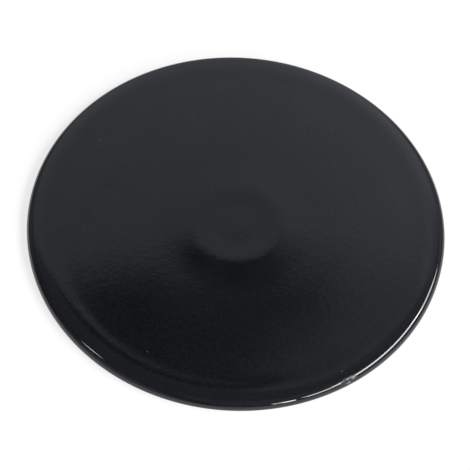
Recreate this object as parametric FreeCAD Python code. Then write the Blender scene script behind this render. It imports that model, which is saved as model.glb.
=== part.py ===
"""Gas burner cap: a round enamelled lid pressed from one steel sheet, with its rim turned down all round.

Lengths are in millimetres. The cap stands on the foot of its rim at z = 0, centred on the z axis.
Its section is drawn in the xz plane, one sheet thick from the axis to the foot, and turned about that axis.
"""
import FreeCAD, Part
import math
import os

# Sheet and rim
CAP_DIAMETER = 100.0
SHEET = 1.2               # steel with its enamel on both faces
BEND_INSIDE_RADIUS = 0.6  # hollow side of the turned-down rim
LIP_LENGTH = 0.3          # straight wall of the rim below its bend
FOOT_CHAMFER = 0.15       # both edges of the foot

# Top face
CROWN_RADIUS = 1400.0     # sphere of the shallow dome
SHOULDER_DIAMETER = 50.0  # where the raised centre runs out into the dome
SHOULDER_RISE = 0.12      # rim of the dimple above the dome
DIMPLE_DIAMETER = 18.4
DIMPLE_DEPTH = 0.05

# Places that follow from those sizes
OUTSIDE = CAP_DIAMETER / 2
INSIDE = OUTSIDE - SHEET
BEND_RADIUS = BEND_INSIDE_RADIUS + SHEET
BEND_CENTRE = OUTSIDE - BEND_RADIUS
FOOT_EDGE = min(FOOT_CHAMFER, 0.4 * SHEET)
BEND_HEIGHT = FOOT_EDGE + LIP_LENGTH

# The bend touches the dome from inside, so their centres lie apart by the difference of their radii
BEND_TILT = math.asin(BEND_CENTRE / (CROWN_RADIUS - BEND_RADIUS))
CROWN_CENTRE_HEIGHT = BEND_HEIGHT - (CROWN_RADIUS - BEND_RADIUS) * math.cos(BEND_TILT)


def point(radius, height):
    """Point of the section, at a distance from the axis and a height above the foot."""
    return FreeCAD.Vector(radius, 0, height)


def line(start, end):
    """Straight edge of the section."""
    return Part.LineSegment(start, end).toShape()


def arc(centre, radius, start_tilt, end_tilt):
    """Round edge of the section about a centre, between two directions tilted outwards from upright."""
    tilts = (start_tilt, (start_tilt + end_tilt) / 2, end_tilt)
    return Part.Arc(*[
        centre + point(radius * math.sin(tilt), radius * math.cos(tilt))
        for tilt in tilts
    ]).toShape()


def pressed_face(depth):
    """Section of the top face, or of the underside at the sheet's depth below it, from axis to lip.

    The dimple and its shoulder are straight, the dome and the rim's bend are arcs with one tangent.
    """
    crown_centre = point(0, CROWN_CENTRE_HEIGHT)
    crown_radius = CROWN_RADIUS - depth
    shoulder_tilt = math.asin(SHOULDER_DIAMETER / 2 / CROWN_RADIUS)
    dimple_tilt = math.asin(DIMPLE_DIAMETER / 2 / CROWN_RADIUS)
    crest_height = CROWN_CENTRE_HEIGHT + crown_radius * math.cos(dimple_tilt) + SHOULDER_RISE
    crest = point(DIMPLE_DIAMETER / 2, crest_height)
    crown = arc(crown_centre, crown_radius, shoulder_tilt, BEND_TILT)
    bend = arc(point(BEND_CENTRE, BEND_HEIGHT), BEND_RADIUS - depth, BEND_TILT, math.pi / 2)
    return [
        line(point(0, crest_height - DIMPLE_DEPTH), crest),
        line(crest, crown.firstVertex().Point),
        crown,
        bend,
    ]


def cap_section():
    """Closed outline of the sheet on one side of the axis."""
    top = pressed_face(0)
    underside = pressed_face(SHEET)
    corners = [
        point(OUTSIDE, BEND_HEIGHT),
        point(OUTSIDE, FOOT_EDGE),
        point(OUTSIDE - FOOT_EDGE, 0),
        point(INSIDE + FOOT_EDGE, 0),
        point(INSIDE, FOOT_EDGE),
        point(INSIDE, BEND_HEIGHT),
    ]
    lip = [line(start, end) for start, end in zip(corners, corners[1:])]
    axis = line(underside[0].firstVertex().Point, top[0].firstVertex().Point)
    return Part.Face(Part.Wire(Part.__sortEdges__(top + lip + underside + [axis])))


def burner_cap():
    """The whole pressing: its section turned about the z axis."""
    return cap_section().revolve(FreeCAD.Vector(0, 0, 0), FreeCAD.Vector(0, 0, 1), 360)


os.makedirs("parts", exist_ok=True)
burner_cap().exportStep("parts/burner_cap.step")
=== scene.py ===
"""Gas burner cap in black enamel, lying on a pale floor in soft studio light.

Lengths are in metres in the part's own frame: the cap stands on z = 0, centred on the z axis.
"""

import math

import bpy
import numpy as np
from mathutils import Matrix, Vector


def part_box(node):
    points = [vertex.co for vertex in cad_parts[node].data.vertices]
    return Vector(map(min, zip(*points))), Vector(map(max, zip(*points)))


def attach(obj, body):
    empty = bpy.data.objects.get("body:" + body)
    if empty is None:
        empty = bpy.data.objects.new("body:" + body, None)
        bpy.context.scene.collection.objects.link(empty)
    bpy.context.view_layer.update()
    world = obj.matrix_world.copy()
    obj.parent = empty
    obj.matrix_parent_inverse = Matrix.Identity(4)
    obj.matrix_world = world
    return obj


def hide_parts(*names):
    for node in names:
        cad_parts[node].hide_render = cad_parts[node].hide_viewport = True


bl_info = {
    "name": "Gas burner cap",
    "version": (1, 0, 0),
    "blender": (4, 5, 0),
    "location": "View3D > Sidebar > Burner cap",
    "description": "Builds an enamelled gas burner cap and the studio it lies in",
    "category": "Add Mesh",
}

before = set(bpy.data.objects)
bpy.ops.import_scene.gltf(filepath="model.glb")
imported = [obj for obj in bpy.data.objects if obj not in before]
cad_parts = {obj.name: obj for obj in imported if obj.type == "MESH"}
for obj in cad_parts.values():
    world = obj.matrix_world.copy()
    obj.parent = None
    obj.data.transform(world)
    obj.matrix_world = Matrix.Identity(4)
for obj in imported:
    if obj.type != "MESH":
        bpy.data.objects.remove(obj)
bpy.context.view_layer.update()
CAP_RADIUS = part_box("burner_cap")[1].x
MM = 0.001

# Slope of the top face, degrees down and outwards, at distances from the axis in millimetres
FACE_STATIONS = np.array([
    0, 2.2, 4, 5.75, 7.5, 9, 10.5, 12, 13.5, 16, 20, 25, 30, 36, 40.5, 44, 46, 47.2, 48.388])
FACE_SLOPES = np.array([
    0, .07, .16, -.12, -.28, -.22, .28, 1.08, 1.25, .90, .47, .68, .96, 1.29, 1.68, 1.88, 2.1, 3.2, 6.0])

# Rows of the section and spokes round the axis
SLOPE_STEPS = 4001         # steps in the running sum of the slope
CENTRE_REACH = 16 * MM     # raised centre, with the closest rows
FLANK_REACH = 41 * MM      # plain part of the dome
CENTRE_ROWS = 45
FLANK_ROWS = 34
EDGE_ROWS = 30
BEND_ROWS = 30
FOOT_EDGE_ROWS = 6
HOLLOW_BEND_ROWS = 8
UNDERSIDE_ROWS = 24
SPOKES = 500
SPOKE_STEPS = 20001        # steps in the running sum of the spokes' density
CHIP_SPOKE_DENSITY = 14    # spokes added at the chip for each one elsewhere
CHIP_SPOKE_SPREAD = math.radians(3.2)

# Low ripple inside the rim
RIPPLE_HEIGHT = 0.113 * MM
RIPPLE_RADIUS = 45.7 * MM
RIPPLE_WIDTH = 2.5 * MM
RIPPLE_ANGLE = math.radians(-108)
RIPPLE_SPREADS = (54, 36)  # degrees to each side of that angle
RIPPLE_LEAST = 0.2

# Oval of the rim's chip, in millimetres along and across the rim
CHIP_PLACE = 0.62          # way up the bend from the lip, in radii of the bend
CHIP_MIDDLE = -0.25
CHIP_HALF_LENGTH = 2.0
CHIP_HALF_WIDTH = 0.75
CHIP_WAVES = ((1, 2.2, 0.14), (7, 2.1, 0.08))  # waves round the oval, their phase and height
CHIP_SOFTNESS = 0.3
CHIP_FLOOR = 0.3           # mark of the floor, where a whole lump has 1
MASK_AT_EDGE = 0.5         # on the oval's own line
DULL_AT_EDGE = 0.7
LUMP_FLATTENING = 1.6
LUMP_RISE = 1.3

# Lumps left inside the chip: place along and across the rim and width, all in millimetres, and height
CHIP_LUMPS = (
    (1.42, -0.40, 0.46, 1.2),
    (0.63, -0.50, 0.26, 0.7),
    (-0.02, -0.58, 0.30, 0.7),
    (-0.44, -0.52, 0.28, 0.75),
    (-1.42, -0.40, 0.28, 0.4),
    (-0.10, 0.50, 0.36, 0.75),
    (-0.90, 0.60, 0.34, 0.6),
    (1.00, 0.05, 0.22, 0.45),
)

# Pale specks fired into the enamel: place on the top face in millimetres and strength
SPECKS = (
    (-34.18, 21.56, 1.0),
    (-11.97, 30.75, 0.6),
    (-6.54, 9.55, 0.35),
    (-18.75, -36.90, 0.6),
    (26.95, -38.58, 0.9),
)
SPECK_CORE = 0.10 * MM
SPECK_EDGE = 0.34 * MM
SPECK_GAIN = 0.145

# Enamel: clouds and grain in the black, gloss and orange peel, each noise by scale and detail
CLOUD_GAIN = 2.0
CLOUD_NOISE = (90.0, 3.0)
GRAIN_NOISE = (1700.0, 2.0)
GRAIN_CONTRAST = 3.2
HAZE = (13 * MM, 22 * MM, 0.15, 1.0)  # ramp by which the clouds thin out towards the middle
GLOSS_NOISE = (140.0, 4.0)
GLOSS_RUN = (0.3, 0.7)                # values of its noise between which the gloss dulls
GLOSS_SHARES = (0.8, 1.3)             # least and most, in shares of the finish's roughness
BARE_ROUGHNESS = 0.8
ENAMEL_IOR = 1.55
COARSE_PEEL_NOISE = (620.0, 1.0)
COARSE_PEEL = 0.75
FINE_PEEL_NOISE = (1500.0, 1.0)
FINE_PEEL = 0.45

# Floor
FLOOR_RADIUS = 3.0
FLOOR_SIDES = 64
FLOOR_HEIGHT = -0.02 * MM
FLOOR_WHITE = 0.75         # share of plain white that the camera and reflections see

# Directions that the face mirrors: u is x / z, and w is y / z less its value straight ahead
STRAIGHT_AHEAD = 0.648
LEAST_UP = 0.02
LEAST_AHEAD = 0.05
U_RANGE = (-0.16, 0.16)
W_RANGE = (-0.3, 0.25)

# Levels of the wall and the ceiling, and the bowed edge between them
WALL_LEVEL = 0.53
WALL_BY_U = 1.0
WALL_BY_W = 1.3
WALL_BY_BOW = 7.2
CEILING_LEVEL = 0.08
EDGE_PLACE = -0.0214
EDGE_BY_U = 0.167
EDGE_BY_BOW = -2.4
EDGE_LEAST_U = -0.085
ASIDE_LEFT = -1.15
ASIDE_RIGHT = 1.8
LIGHT_CORNER = (-0.75, -0.66, 0.0)

# Smooth ramps of the surroundings: start and end of the run, and the value at each
EDGE_STEP = (-0.027, 0.027, 0.0, 1.0)
SIDE_SHADE = (0.12, 0.4, 0.0, -0.55)
SIDE_SHADE_ASIDE = (0.35, 0.9, 0.0, 1.0)
RIGHT_SHADE = (0.11, 0.2, 0.0, -0.3)
RIGHT_SHADE_LOW = (0.02, 0.12, 1.0, 0.0)
CEILING_RIGHT = (-0.004, 0.108, 0.0, 0.366)
CEILING_RIGHT_HIGH = (-0.25, -0.13, 0.3, 1.0)
CEILING_RIGHT_END = (0.18, 0.3, 1.0, 0.35)
CEILING_HIGH = (-0.18, -0.1, 0.1, 0.0)
NEAR_FLOOR = (0.05, 0.4, 0.1, 1.0)
CORNER_LIGHT = (0.72, 0.97, 0.0, 0.35)
BACK_CEILING = (-0.06, 0.01, 0.1, 0.0)
BACK_CEILING_LEFT = (-0.35, -0.1, 0.0, 1.0)

# Soft paler and darker patches of the surroundings: place and half width in u and in w, and level
PATCHES = (
    (0.035, 0.020, -0.147, 0.060, 0.11),
    (0.067, 0.026, -0.036, 0.017, 0.06),
    (0.035, 0.017, -0.056, 0.030, -0.05),
    (0.110, 0.030, -0.006, 0.025, -0.06),
    (-0.160, 0.050, -0.090, 0.050, 0.14),
    (-0.018, 0.016, -0.054, 0.024, 0.055),
    (-0.060, 0.030, -0.085, 0.030, -0.03),
    (0.005, 0.028, -0.022, 0.016, 0.05),
    (0.155, 0.030, -0.085, 0.040, 0.09),
)

# Lamps: name, azimuth, elevation and roll in degrees, distance, width, depth and radiance
LAMPS = (
    ("window_far", 17.5, 34, 10, 1.5, 0.45, 0.36, 11),
    ("window_middle", -13, 35.5, 10, 1.5, 1.16, 0.43, 15),
    ("window_right", -45, 24, 10, 1.5, 0.5, 0.33, 12),
    ("window_near", -64.6, 17, 0, 1.5, 0.26, 0.33, 8),
    ("window_near_pane", -62.5, 17, 0, 1.45, 0.14, 0.3, 12),
    ("lamp_left", 193.8, 53, 0, 1.2, 0.1, 0.2, 9.5),
)

# Camera
SENSOR_WIDTH = 36.0        # mm
NEAREST_SEEN = 0.01


class CapShape(bpy.types.PropertyGroup):
    """Sizes of the pressing."""
    radius: bpy.props.FloatProperty(
        name="Radius", description="Outside of the rim", default=CAP_RADIUS, unit="LENGTH", precision=5)
    sheet: bpy.props.FloatProperty(
        name="Sheet", description="Thickness of steel and enamel", default=1.2 * MM, unit="LENGTH",
        precision=5)
    bend_radius: bpy.props.FloatProperty(
        name="Bend", description="Outside radius of the rim's bend", default=1.8 * MM, unit="LENGTH",
        precision=5)
    bend_height: bpy.props.FloatProperty(
        name="Lip", description="Height at which the rim's bend starts", default=0.45 * MM, unit="LENGTH",
        precision=5)
    foot_rounding: bpy.props.FloatProperty(
        name="Foot edge", description="Radius of the foot's two edges", default=0.15 * MM, unit="LENGTH",
        precision=5)
    chip_angle: bpy.props.FloatProperty(
        name="Chip", description="Where the rim is chipped, round the axis", default=math.radians(-54.5),
        subtype="ANGLE")
    chip_depth: bpy.props.FloatProperty(
        name="Chip depth", description="Depth of the chip", default=0.03 * MM, unit="LENGTH", precision=6)


class EnamelFinish(bpy.types.PropertyGroup):
    """Colours and surface of the enamel."""
    black: bpy.props.FloatVectorProperty(
        name="Black", description="Colour of the enamel", default=(0.0030, 0.0033, 0.0041),
        subtype="COLOR", min=0.0, max=1.0)
    ground_coat: bpy.props.FloatVectorProperty(
        name="Ground coat", description="Colour bared by chips and specks", default=(0.25, 0.254, 0.26),
        subtype="COLOR", min=0.0, max=1.0)
    roughness: bpy.props.FloatProperty(
        name="Roughness", description="Roughness of the fired gloss", default=0.03, subtype="FACTOR",
        min=0.0, max=1.0)
    peel_height: bpy.props.FloatProperty(
        name="Orange peel", description="Height of the enamel's fine unevenness", default=0.006 * MM,
        unit="LENGTH", precision=6)


class StudioSettings(bpy.types.PropertyGroup):
    """Camera and colours of the surroundings."""
    view_elevation: bpy.props.FloatProperty(
        name="Elevation", description="Camera above the horizon", default=math.radians(57.17),
        subtype="ANGLE")
    view_roll: bpy.props.FloatProperty(
        name="Roll", description="Turn of the camera about its view", default=math.radians(3.92),
        subtype="ANGLE")
    view_distance: bpy.props.FloatProperty(
        name="Distance", description="Camera to the point it looks at", default=0.99755, unit="LENGTH")
    view_aim: bpy.props.FloatVectorProperty(
        name="Aim", description="Point the camera looks at", default=(-0.00016, -0.002725, 0.0023),
        subtype="TRANSLATION", precision=5)
    lens: bpy.props.FloatProperty(
        name="Lens", description="Focal length on a 36 mm sensor, mm", default=320.44)
    floor_colour: bpy.props.FloatVectorProperty(
        name="Floor", description="Colour of the floor", default=(0.92, 0.92, 0.92), subtype="COLOR",
        min=0.0, max=1.0)
    wall_tint: bpy.props.FloatVectorProperty(
        name="Walls", description="Tint of the walls and ceiling", default=(0.83, 0.856, 0.946),
        subtype="COLOR", min=0.0, max=2.0)


def spline(stations, values, places):
    """Natural cubic spline: one linear system gives the curvature at each station, and each place is the
    weighted mean of its two stations plus the cubic share of their curvatures."""
    step = np.diff(stations)
    rise = np.diff(values) / step
    system = np.eye(len(stations))
    inner = np.arange(1, len(stations) - 1)
    system[inner, inner - 1] = step[:-1]
    system[inner, inner] = 2 * (step[:-1] + step[1:])
    system[inner, inner + 1] = step[1:]
    wanted = np.zeros(len(stations))
    wanted[inner] = 6 * np.diff(rise)
    curve = np.linalg.solve(system, wanted)
    left = np.clip(np.searchsorted(stations, places, side="right") - 1, 0, len(step) - 1)
    width = step[left]
    after = (places - stations[left]) / width
    before = 1 - after
    bow = (before ** 3 - before) * curve[left] + (after ** 3 - after) * curve[left + 1]
    return before * values[left] + after * values[left + 1] + bow * width ** 2 / 6


def running_sum(values, steps):
    """Sum of the trapezia under the values up to each of them, from nothing at the first."""
    return np.concatenate([[0.0], np.cumsum((values[1:] + values[:-1]) / 2 * steps)])


def turned_from(angle, start):
    """Angle counted from a start, held between minus and plus half a turn."""
    return (angle - start + math.pi) % (2 * math.pi) - math.pi


def cap_section(shape):
    """Section of the sheet from the middle of the top over the rim and back to the middle of the underside.

    Gives radius, height and tilt of the outward normal. The top's height is the running sum of its slope,
    taken inwards from the bend. The underside is the top moved one sheet along its normal. The bend and the
    foot's edges are arcs: centre plus radius times the sine and cosine of the tilt.
    """
    join_tilt = math.radians(FACE_SLOPES[-1])
    bend_centre = shape.radius - shape.bend_radius
    join_radius = bend_centre + shape.bend_radius * math.sin(join_tilt)
    join_height = shape.bend_height + shape.bend_radius * math.cos(join_tilt)

    def arc(centre_radius, centre_height, size, start, end, count):
        tilt = np.linspace(start, end, count)
        return centre_radius + size * np.sin(tilt), centre_height + size * np.cos(tilt), tilt

    fine = np.linspace(0.0, join_radius, SLOPE_STEPS)
    fine_tilt = np.radians(spline(FACE_STATIONS, FACE_SLOPES, fine / MM))
    drop = running_sum(np.tan(fine_tilt), np.diff(fine))
    top_radius = np.concatenate([
        np.linspace(0.0, CENTRE_REACH, CENTRE_ROWS)[:-1],
        np.linspace(CENTRE_REACH, FLANK_REACH, FLANK_ROWS)[:-1],
        np.linspace(FLANK_REACH, join_radius, EDGE_ROWS),
    ])
    top_height = np.interp(top_radius, fine, join_height + drop[-1] - drop)
    top_tilt = np.interp(top_radius, fine, fine_tilt)
    bend = arc(bend_centre, shape.bend_height, shape.bend_radius, join_tilt, math.pi / 2, BEND_ROWS)
    edge = shape.foot_rounding
    inside = shape.radius - shape.sheet
    outer_edge = arc(shape.radius - edge, edge, edge, math.pi / 2, math.pi, FOOT_EDGE_ROWS)
    inner_edge = arc(inside + edge, edge, edge, math.pi, 1.5 * math.pi, FOOT_EDGE_ROWS)
    hollow = shape.bend_radius - shape.sheet
    inner_bend = arc(bend_centre, shape.bend_height, hollow, math.pi / 2, join_tilt, HOLLOW_BEND_ROWS)
    back = np.linspace(len(top_radius) - 1, 0, UNDERSIDE_ROWS).round().astype(int)
    under_tilt = top_tilt[back]
    under_radius = top_radius[back] - shape.sheet * np.sin(under_tilt)
    under_height = top_height[back] - shape.sheet * np.cos(under_tilt)
    under_radius[-1] = 0.0
    radius = np.concatenate([
        top_radius, bend[0][1:], outer_edge[0], inner_edge[0], inner_bend[0], under_radius[1:]])
    height = np.concatenate([
        top_height, bend[1][1:], outer_edge[1], inner_edge[1], inner_bend[1], under_height[1:]])
    tilt = np.concatenate([
        top_tilt, bend[2][1:], outer_edge[2], inner_edge[2],
        inner_bend[2] + math.pi, under_tilt[1:] + math.pi])
    return radius, height, tilt


def ring_angles(chip_angle):
    """Angles round the axis, closer together at the chip: equal shares of a running sum whose density is one
    plus a bell at the chip."""
    fine = np.linspace(-math.pi, math.pi, SPOKE_STEPS)
    density = 1 + CHIP_SPOKE_DENSITY * np.exp(-(fine / CHIP_SPOKE_SPREAD) ** 2)
    share = running_sum(density, 1.0)
    return chip_angle + np.interp(np.arange(SPOKES) / SPOKES, share / share[-1], fine)


def edge_ripple(radius, angle):
    """Height of the low ripple that the press left inside the rim: a bell across the radius, times a share
    that is a fifth all round and rises as a flat-topped bell towards one side."""
    turn = turned_from(angle, RIPPLE_ANGLE)
    spread = np.radians(np.where(turn < 0, *RIPPLE_SPREADS))
    share = RIPPLE_LEAST + (1 - RIPPLE_LEAST) * np.exp(-(turn / spread) ** 6)
    return RIPPLE_HEIGHT * np.exp(-((radius - RIPPLE_RADIUS) / RIPPLE_WIDTH) ** 2) * share


def chip_form(along, across):
    """Dull area and relief of the chip, from millimetres along and across the rim.

    The mask is a soft-edged oval whose reach varies with the sines of its own angle. The relief is a floor
    one unit deep with bell-shaped lumps on it. The dull area is the same oval a little larger, and the lumps
    are marked in it.
    """
    long = (along - CHIP_MIDDLE) / CHIP_HALF_LENGTH
    wide = across / CHIP_HALF_WIDTH
    angle = np.arctan2(wide, long)
    reach = 1 + sum(height * np.sin(count * angle + phase) for count, phase, height in CHIP_WAVES)
    within = (reach - np.hypot(long, wide)) / CHIP_SOFTNESS
    share = np.clip(within + MASK_AT_EDGE, 0, 1)
    mask = share * share * (3 - 2 * share)
    around = np.clip(within + DULL_AT_EDGE, 0, 1)
    lump_along, lump_across, width, height = np.array(CHIP_LUMPS).T[:, :, None, None]
    away = (along - lump_along) ** 2 + LUMP_FLATTENING * (across - lump_across) ** 2
    lumps = np.sum(height * np.exp(-away / width ** 2), axis=0)
    dull = around * (CHIP_FLOOR + (1 - CHIP_FLOOR) * np.clip(mask * lumps, 0, 1))
    return dull, mask * (LUMP_RISE * lumps - 1)


def turned_mesh(name, shape):
    """Mesh of the section turned about the z axis, with the chip pressed into its bend.

    A point is (radius cos a, radius sin a, height) plus the chip's relief along the outward normal and, on
    the top, the ripple's height. The first and last rows of the grid are single points on the axis.
    """
    radius, height, tilt = cap_section(shape)
    angle = ring_angles(shape.chip_angle)
    length = np.concatenate([[0.0], np.cumsum(np.hypot(np.diff(radius), np.diff(height)))])
    outer = np.argmax(radius)
    chip_place = length[outer] - CHIP_PLACE * shape.bend_radius
    along = (turned_from(angle, shape.chip_angle) * shape.radius / MM)[None, :]
    across = ((length - chip_place) / MM)[:, None]
    dull, relief = chip_form(along, across)
    push = relief * shape.chip_depth
    out_radius = radius[:, None] + push * np.sin(tilt)[:, None]
    top = (np.arange(len(radius)) < outer)[:, None]
    up_height = height[:, None] + push * np.cos(tilt)[:, None] + top * edge_ripple(radius[:, None], angle)
    grid = np.stack([out_radius * np.cos(angle), out_radius * np.sin(angle), up_height], axis=-1)
    rows, columns = grid.shape[:2]
    points = np.concatenate([grid[0, :1], grid[1:-1].reshape(-1, 3), grid[-1, :1]])
    chip = np.concatenate([[0.0], dull[1:-1].ravel(), [0.0]])

    spoke = np.arange(columns)
    next_spoke = (spoke + 1) % columns
    row_start = 1 + np.arange(rows - 3)[:, None] * columns
    first = row_start + spoke
    after = row_start + next_spoke
    quads = np.stack([first, first + columns, after + columns, after], axis=-1).reshape(-1, 4)
    last_row = 1 + (rows - 3) * columns
    bottom = len(points) - 1
    top_fan = np.stack([np.zeros_like(spoke), 1 + spoke, 1 + next_spoke], axis=-1)
    bottom_fan = np.stack([np.full_like(spoke, bottom), last_row + next_spoke, last_row + spoke], axis=-1)

    mesh = bpy.data.meshes.new(name)
    mesh.from_pydata(points, [], quads.tolist() + top_fan.tolist() + bottom_fan.tolist())
    mesh.attributes.new("chip", "FLOAT", "POINT").data.foreach_set("value", chip.astype(np.float32))
    mesh.shade_smooth()
    mesh.validate()
    return mesh


def add_node(tree, kind, inputs=None, **settings):
    """New node with its settings and inputs; an input is a value or another node's output."""
    node = tree.nodes.new(kind)
    for key, value in settings.items():
        setattr(node, key, value)
    for key, value in (inputs or {}).items():
        if isinstance(value, bpy.types.NodeSocket):
            tree.links.new(value, node.inputs[key])
        else:
            node.inputs[key].default_value = value
    return node


def maths(tree, operation, *values):
    """Output of a Math node on numbers or other outputs."""
    return add_node(tree, "ShaderNodeMath", dict(enumerate(values)), operation=operation).outputs[0]


def vectors(tree, operation, *values):
    """Vector Math node on vectors or other outputs."""
    return add_node(tree, "ShaderNodeVectorMath", dict(enumerate(values)), operation=operation)


def ramp(tree, value, start, end, low, high, shape="SMOOTHSTEP"):
    """Output that runs from low at start to high at end and is level on both sides."""
    return add_node(tree, "ShaderNodeMapRange", {
        "Value": value, "From Min": start, "From Max": end, "To Min": low, "To Max": high},
        interpolation_type=shape).outputs["Result"]


def blend(tree, share, first, second):
    """Colour between two colours or other outputs."""
    return add_node(tree, "ShaderNodeMix", {
        "Factor": share, 6: first, 7: second}, data_type="RGBA").outputs[2]


def enamel_material(finish):
    """Black fired enamel: deep gloss over a fine orange peel, with the ground coat bared at the chip and the
    specks."""
    material = bpy.data.materials.new("black_enamel")
    material.use_nodes = True
    tree = material.node_tree
    shader = tree.nodes["Principled BSDF"]
    place = add_node(tree, "ShaderNodeTexCoord").outputs["Object"]

    def noise(scale, detail):
        return add_node(tree, "ShaderNodeTexNoise", {
            "Vector": place, "Scale": scale, "Detail": detail, "Roughness": 0.5}).outputs["Fac"]

    # Colour of the black with a faint clouding that thins out in the middle, then the ground coat
    black = (*finish.black, 1.0)
    cloudy = (*[CLOUD_GAIN * value for value in finish.black], 1.0)
    ground = (*finish.ground_coat, 1.0)
    flat = vectors(tree, "MULTIPLY", place, (1.0, 1.0, 0.0)).outputs[0]
    from_axis = vectors(tree, "LENGTH", flat).outputs["Value"]
    grain = maths(tree, "MULTIPLY_ADD", noise(*GRAIN_NOISE), GRAIN_CONTRAST, -0.5 * GRAIN_CONTRAST)
    clouds = maths(tree, "ADD", noise(*CLOUD_NOISE), grain)
    clouds = maths(tree, "MULTIPLY", clouds, ramp(tree, from_axis, *HAZE))
    chip = add_node(tree, "ShaderNodeAttribute", attribute_name="chip").outputs["Fac"]
    bare = ramp(tree, chip, CHIP_FLOOR, 1.0, 0.0, 1.0, shape="LINEAR")
    for x, y, strength in SPECKS:
        away = vectors(tree, "DISTANCE", flat, (x * MM, y * MM, 0.0)).outputs["Value"]
        speck = ramp(tree, away, SPECK_CORE, SPECK_EDGE, SPECK_GAIN * strength, 0.0)
        bare = maths(tree, "MAXIMUM", bare, speck)
    colour = blend(tree, bare, blend(tree, clouds, black, cloudy), ground)
    tree.links.new(colour, shader.inputs["Base Color"])

    # Gloss that dulls a little in patches and much more on the bared ground coat
    least, most = [share * finish.roughness for share in GLOSS_SHARES]
    gloss = ramp(tree, noise(*GLOSS_NOISE), *GLOSS_RUN, least, most, shape="LINEAR")
    worn = maths(tree, "MAXIMUM", bare, chip)
    matt = ramp(tree, worn, 0.0, CHIP_FLOOR, 0.0, BARE_ROUGHNESS, shape="LINEAR")
    tree.links.new(maths(tree, "ADD", gloss, matt), shader.inputs["Roughness"])
    shader.inputs["IOR"].default_value = ENAMEL_IOR

    # Orange peel in two sizes
    coarse = maths(tree, "MULTIPLY", noise(*COARSE_PEEL_NOISE), COARSE_PEEL)
    peel = maths(tree, "MULTIPLY_ADD", noise(*FINE_PEEL_NOISE), FINE_PEEL, coarse)
    bump = add_node(tree, "ShaderNodeBump", {
        "Height": peel, "Strength": 1.0, "Distance": finish.peel_height}).outputs["Normal"]
    tree.links.new(bump, shader.inputs["Normal"])
    return material


def floor_material(studio):
    """Pale matt floor that looks white to the camera and in reflections and still takes the cap's shadow."""
    material = bpy.data.materials.new("pale_floor")
    material.use_nodes = True
    tree = material.node_tree
    tree.nodes.clear()
    path = add_node(tree, "ShaderNodeLightPath").outputs
    seen = maths(tree, "MAXIMUM", path["Is Camera Ray"], path["Is Glossy Ray"])
    seen = maths(tree, "MAXIMUM", seen, path["Is Transmission Ray"])
    share = maths(tree, "MULTIPLY", seen, FLOOR_WHITE)
    matt = add_node(tree, "ShaderNodeBsdfDiffuse", {"Color": (*studio.floor_colour, 1.0)}).outputs[0]
    white = add_node(tree, "ShaderNodeEmission", {"Color": (1.0, 1.0, 1.0, 1.0), "Strength": 1.0}).outputs[0]
    mixed = add_node(tree, "ShaderNodeMixShader", {0: share, 1: matt, 2: white})
    add_node(tree, "ShaderNodeOutputMaterial", {"Surface": mixed.outputs[0]})
    return material


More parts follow.
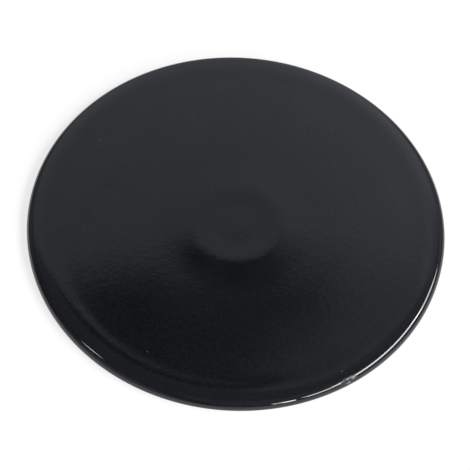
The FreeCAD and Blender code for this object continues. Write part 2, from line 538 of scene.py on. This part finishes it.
def studio_world(studio):
    """Grey walls under a darker ceiling, as soft functions of direction.

    With u = x / z and w = y / z less its value straight ahead, both held within a range, a smooth step parts
    the wall from the ceiling where w passes a bowed edge: a place plus gains times u and u squared. The
    wall's level is a plane in u and w plus a bow in u, and darkens in the side directions. The ceiling's is a
    plain level, raised to the right and overhead. Bell-shaped patches are added to both, and the sum
    darkens near the floor. One corner of the room and the ceiling behind the camera are a little lighter.
    """
    world = bpy.data.worlds.new("studio")
    bpy.context.scene.world = world
    world.use_nodes = True
    tree = world.node_tree
    tree.nodes.clear()

    def held(value, least, most):
        return maths(tree, "MINIMUM", maths(tree, "MAXIMUM", value, least), most)

    def product(first, second):
        return maths(tree, "MULTIPLY", first, second)

    direction = add_node(tree, "ShaderNodeTexCoord").outputs["Generated"]
    x, y, z = add_node(tree, "ShaderNodeSeparateXYZ", {0: direction}).outputs
    up = maths(tree, "MAXIMUM", z, LEAST_UP)
    side = maths(tree, "DIVIDE", x, up)
    ahead = maths(tree, "DIVIDE", y, up)
    u = held(side, *U_RANGE)
    w = held(maths(tree, "SUBTRACT", ahead, STRAIGHT_AHEAD), *W_RANGE)

    # Wall, darker in side directions
    wall = maths(tree, "MULTIPLY_ADD", u, WALL_BY_U, WALL_LEVEL)
    wall = maths(tree, "MULTIPLY_ADD", w, WALL_BY_W, wall)
    wall = maths(tree, "MULTIPLY_ADD", product(u, u), WALL_BY_BOW, wall)
    aside = maths(tree, "MAXIMUM", product(x, ASIDE_LEFT), product(x, ASIDE_RIGHT))
    aside = maths(tree, "DIVIDE", aside, maths(tree, "MAXIMUM", y, LEAST_AHEAD))
    both_sides = ramp(tree, maths(tree, "ABSOLUTE", side), *SIDE_SHADE)
    both_sides = product(both_sides, ramp(tree, aside, *SIDE_SHADE_ASIDE))
    right_side = product(ramp(tree, side, *RIGHT_SHADE), ramp(tree, w, *RIGHT_SHADE_LOW))
    for shade in (both_sides, right_side):
        wall = product(wall, maths(tree, "ADD", shade, 1.0))

    # Ceiling, lighter to the right and overhead
    right = product(ramp(tree, u, *CEILING_RIGHT), ramp(tree, w, *CEILING_RIGHT_HIGH))
    right = product(right, ramp(tree, maths(tree, "SUBTRACT", side, w), *CEILING_RIGHT_END))
    ceiling = maths(tree, "ADD", maths(tree, "ADD", right, CEILING_LEVEL), ramp(tree, w, *CEILING_HIGH))

    # Bowed edge between wall and ceiling, and the patches on both
    near_u = maths(tree, "MAXIMUM", u, EDGE_LEAST_U)
    edge = maths(tree, "MULTIPLY_ADD", near_u, EDGE_BY_U, EDGE_PLACE)
    edge = maths(tree, "MULTIPLY_ADD", product(near_u, near_u), EDGE_BY_BOW, edge)
    step = ramp(tree, maths(tree, "SUBTRACT", edge, w), *EDGE_STEP)
    level = maths(tree, "MULTIPLY_ADD", maths(tree, "SUBTRACT", ceiling, wall), step, wall)
    for middle_u, width_u, middle_w, width_w, amount in PATCHES:
        off_u = maths(tree, "DIVIDE", maths(tree, "SUBTRACT", u, middle_u), width_u)
        off_w = maths(tree, "DIVIDE", maths(tree, "SUBTRACT", w, middle_w), width_w)
        off = maths(tree, "MULTIPLY_ADD", off_u, off_u, product(off_w, off_w))
        bell = maths(tree, "EXPONENT", product(off, -1.0))
        level = maths(tree, "MULTIPLY_ADD", bell, amount, level)

    # Darker near the floor, lighter in one corner and on the ceiling behind the camera
    level = maths(tree, "MAXIMUM", product(level, ramp(tree, z, *NEAR_FLOOR)), 0.0)
    corner = vectors(tree, "DOT_PRODUCT", direction, LIGHT_CORNER).outputs["Value"]
    level = maths(tree, "ADD", level, ramp(tree, corner, *CORNER_LIGHT))
    back = product(ramp(tree, ahead, *BACK_CEILING), ramp(tree, side, *BACK_CEILING_LEFT))
    background = add_node(tree, "ShaderNodeBackground", {
        "Color": (*studio.wall_tint, 1.0), "Strength": maths(tree, "ADD", level, back)})
    add_node(tree, "ShaderNodeOutputWorld", {"Surface": background.outputs[0]})


def softbox(name, azimuth, elevation, roll, distance, width, depth, radiance):
    """Rectangular lamp facing the cap, placed by azimuth from +X towards +Y and by elevation, and rolled
    about its own axis, all in degrees. Its power is radiance times pi times its area."""
    turn = math.radians(azimuth)
    lift = math.radians(elevation)
    out = Vector((math.cos(lift) * math.cos(turn), math.cos(lift) * math.sin(turn), math.sin(lift)))
    light = bpy.data.lights.new(name, "AREA")
    light.shape = "RECTANGLE"
    light.size = width
    light.size_y = depth
    light.energy = radiance * math.pi * width * depth
    lamp = bpy.data.objects.new(name, light)
    facing = out.to_track_quat("Z", "Y").to_matrix().to_4x4()
    rolled = Matrix.Rotation(math.radians(roll), 4, "Z")
    lamp.matrix_world = Matrix.Translation(out * distance) @ facing @ rolled
    bpy.context.scene.collection.objects.link(lamp)


def floor_mesh():
    """Level disc of one many-sided face: radius times the cosine and sine of equal angles."""
    angle = np.linspace(0.0, 2 * math.pi, FLOOR_SIDES + 1)[:-1]
    height = np.full_like(angle, FLOOR_HEIGHT)
    edge = np.stack([FLOOR_RADIUS * np.cos(angle), FLOOR_RADIUS * np.sin(angle), height], axis=-1)
    mesh = bpy.data.meshes.new("floor")
    mesh.from_pydata(edge, [], [list(range(FLOOR_SIDES))])
    return mesh


class BURNERCAP_OT_cap(bpy.types.Operator):
    """Build the enamelled cap as one turned surface with its chipped rim"""
    bl_idname = "burner_cap.build_cap"
    bl_label = "Enamelled cap"

    def execute(self, context):
        scene = context.scene
        cap = bpy.data.objects.new("enamelled_cap", turned_mesh("enamelled_cap", scene.cap_shape))
        scene.collection.objects.link(cap)
        cap.data.materials.append(enamel_material(scene.enamel_finish))
        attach(cap, "root")
        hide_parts("burner_cap")
        return {"FINISHED"}


class BURNERCAP_OT_studio(bpy.types.Operator):
    """Build the floor, walls, lamps and camera"""
    bl_idname = "burner_cap.build_studio"
    bl_label = "Studio"

    def execute(self, context):
        scene = context.scene
        studio = scene.cap_studio
        floor = bpy.data.objects.new("floor", floor_mesh())
        floor.data.materials.append(floor_material(studio))
        scene.collection.objects.link(floor)

        studio_world(studio)
        for lamp in LAMPS:
            softbox(*lamp)

        camera = bpy.data.objects.new("camera", bpy.data.cameras.new("camera"))
        camera.data.sensor_width = SENSOR_WIDTH
        camera.data.lens = studio.lens
        camera.data.clip_start = NEAREST_SEEN
        tip = Matrix.Rotation(math.pi / 2 - studio.view_elevation, 4, "X")
        roll = Matrix.Rotation(studio.view_roll, 4, "Z")
        away = Matrix.Translation((0.0, 0.0, studio.view_distance))
        camera.matrix_world = Matrix.Translation(studio.view_aim) @ tip @ away @ roll
        scene.collection.objects.link(camera)
        scene.camera = camera
        scene.view_settings.view_transform = "Standard"
        return {"FINISHED"}


class BURNERCAP_PT_tools(bpy.types.Panel):
    """Shows the settings of the cap, its enamel and its studio, with the buttons that build them"""
    bl_idname = "BURNERCAP_PT_tools"
    bl_label = "Burner cap"
    bl_space_type = "VIEW_3D"
    bl_region_type = "UI"
    bl_category = "Burner cap"

    def draw(self, context):
        for settings, operator in (
            (context.scene.cap_shape, BURNERCAP_OT_cap),
            (context.scene.enamel_finish, None),
            (context.scene.cap_studio, BURNERCAP_OT_studio),
        ):
            column = self.layout.column()
            for name in settings.__annotations__:
                column.prop(settings, name)
            if operator:
                column.operator(operator.bl_idname)


CLASSES = (
    CapShape,
    EnamelFinish,
    StudioSettings,
    BURNERCAP_OT_cap,
    BURNERCAP_OT_studio,
    BURNERCAP_PT_tools,
)


def register():
    """Registers the classes and hangs their settings on the scene."""
    for cls in CLASSES:
        bpy.utils.register_class(cls)
    bpy.types.Scene.cap_shape = bpy.props.PointerProperty(type=CapShape)
    bpy.types.Scene.enamel_finish = bpy.props.PointerProperty(type=EnamelFinish)
    bpy.types.Scene.cap_studio = bpy.props.PointerProperty(type=StudioSettings)


def unregister():
    """Takes the settings off the scene and unregisters the classes."""
    del bpy.types.Scene.cap_studio
    del bpy.types.Scene.enamel_finish
    del bpy.types.Scene.cap_shape
    for cls in reversed(CLASSES):
        bpy.utils.unregister_class(cls)


def main():
    """Builds the cap and its studio."""
    register()
    bpy.ops.burner_cap.build_cap()
    bpy.ops.burner_cap.build_studio()


if __name__ == "__main__":
    main()
